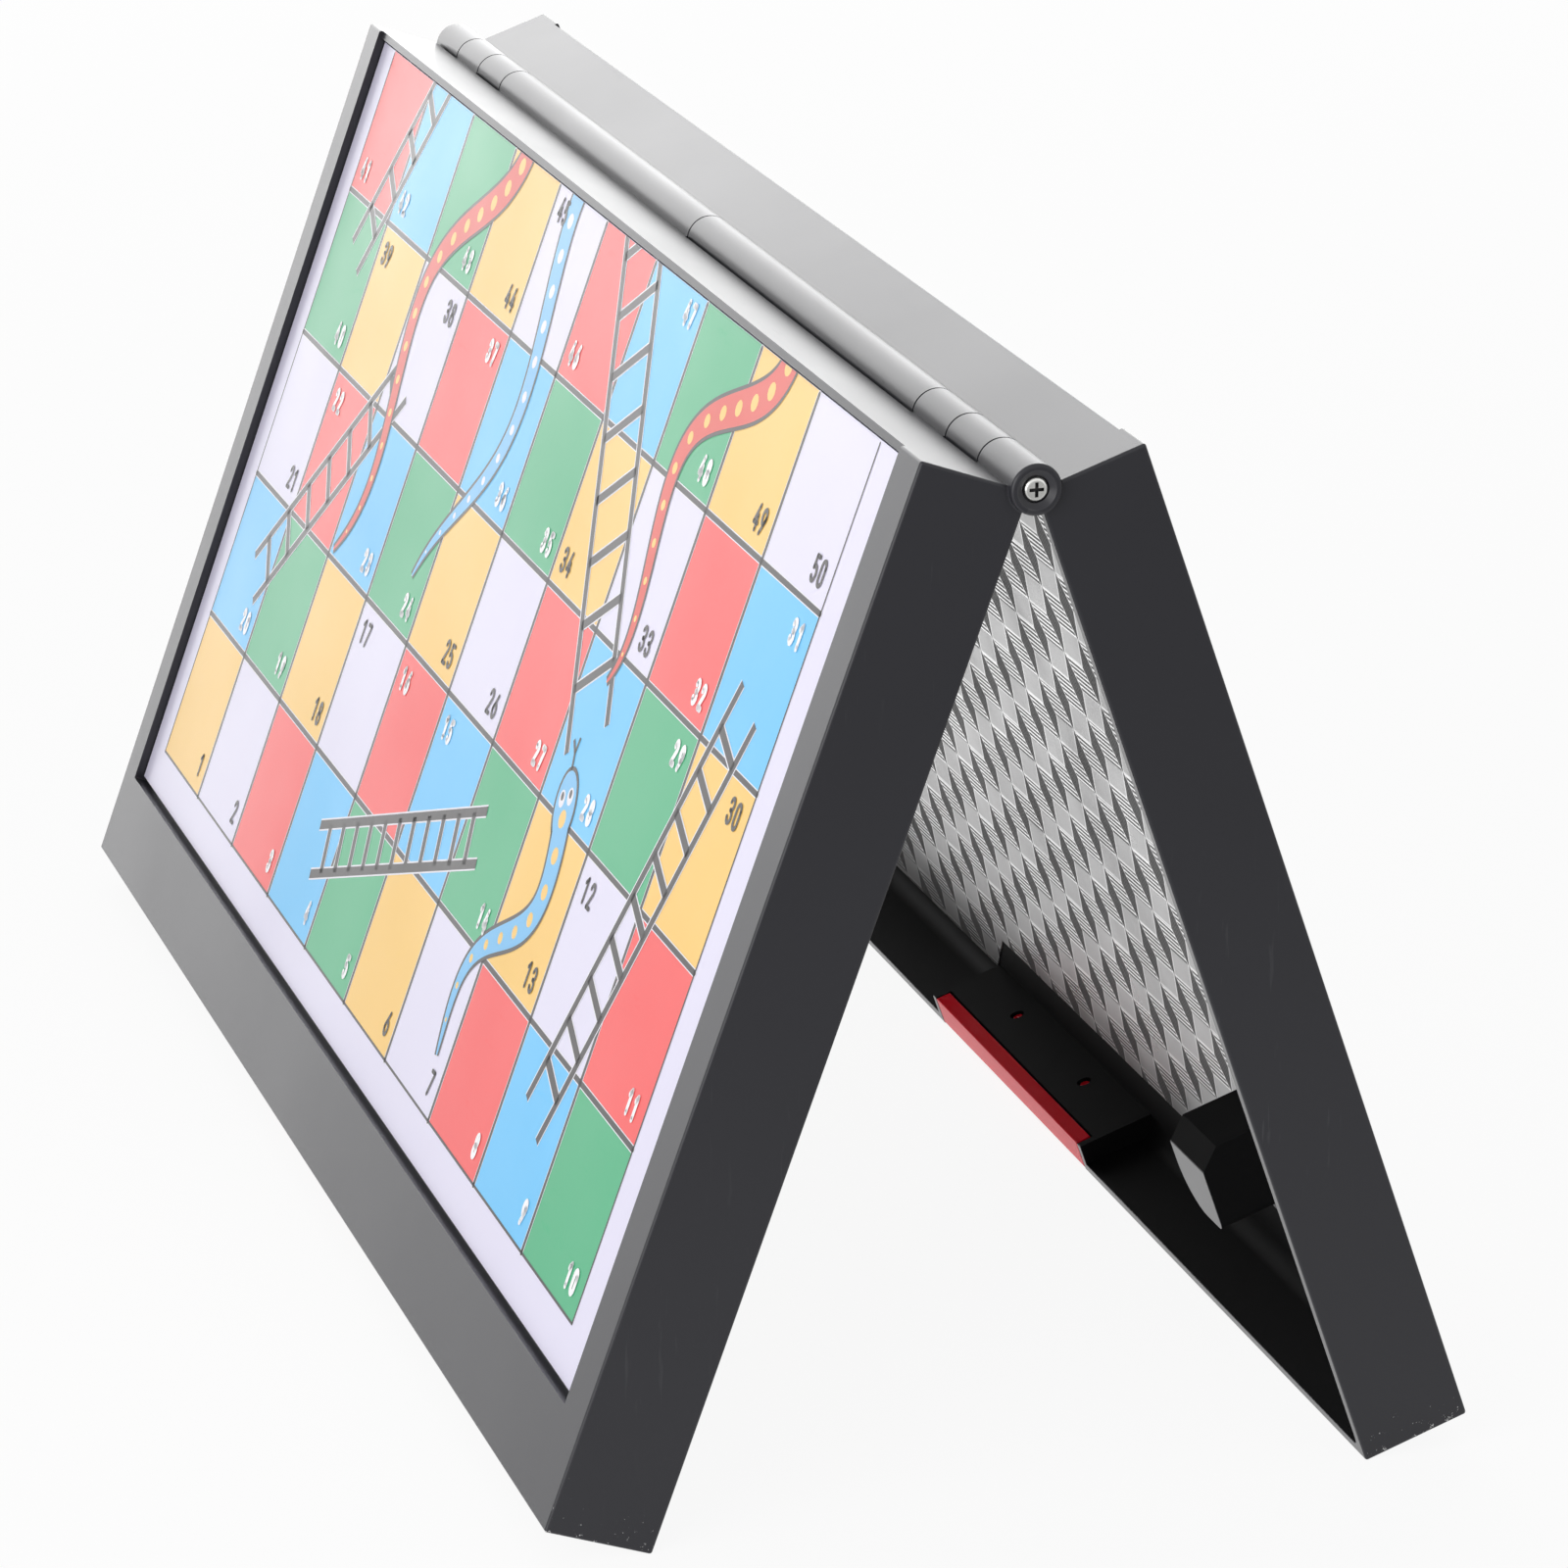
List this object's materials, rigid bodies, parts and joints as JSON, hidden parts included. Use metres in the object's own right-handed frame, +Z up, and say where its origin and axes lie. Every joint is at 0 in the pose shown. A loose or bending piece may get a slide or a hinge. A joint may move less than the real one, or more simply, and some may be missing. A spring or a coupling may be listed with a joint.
{
  "type": "folding magnetic game board",
  "caption": "Hinged two-half game board case with a printed snakes and ladders board on steel plates, silver lined trays and a press latch.",
  "frame": {"origin": "bottom centre of the standing case, on the surface under its two free edges, below the middle of the hinge", "axes": "+X along the hinge towards its near end, +Y from the front half to the back half, +Z up"},
  "size_m": [0.2524, 0.1132, 0.1268],
  "materials": {
    "case_plastic": "satin black moulded plastic",
    "steel_plate": "bare steel sheet",
    "printed_sheet": "glossy laminated colour print",
    "silver_liner": "metallised plastic film with a woven lozenge pattern",
    "red_plastic": "glossy red moulded plastic",
    "screw_steel": "bright zinc-plated steel"
  },
  "bodies": {
    "front_half": {"front_tray": "case_plastic", "front_steel_plate": "steel_plate", "front_game_sheet": "printed_sheet", "front_liner": "silver_liner", "catch": "red_plastic", "far_hinge_screw": "screw_steel"},
    "back_half": {"back_tray": "case_plastic", "back_steel_plate": "steel_plate", "back_game_sheet": "printed_sheet", "back_liner": "silver_liner", "near_hinge_screw": "screw_steel", "latch_spring": "screw_steel"},
    "latch": {"press_latch": "red_plastic"}
  },
  "joints": [
    {"name": "fold", "type": "hinge", "parent": "front_half", "child": "back_half", "pos_m": [0, 0, 0.12287], "axis": [1, 0, 0], "range_deg": [-39.2, 140.8]},
    {"name": "latch_press", "type": "slide", "parent": "back_half", "child": "latch", "axis": [0, -0.3355, 0.9421], "range_m": [0, 0.0011], "stiffness_N_per_m": 1200, "springref_m": -0.0008, "deforming": ["latch_spring"]}
  ]
}
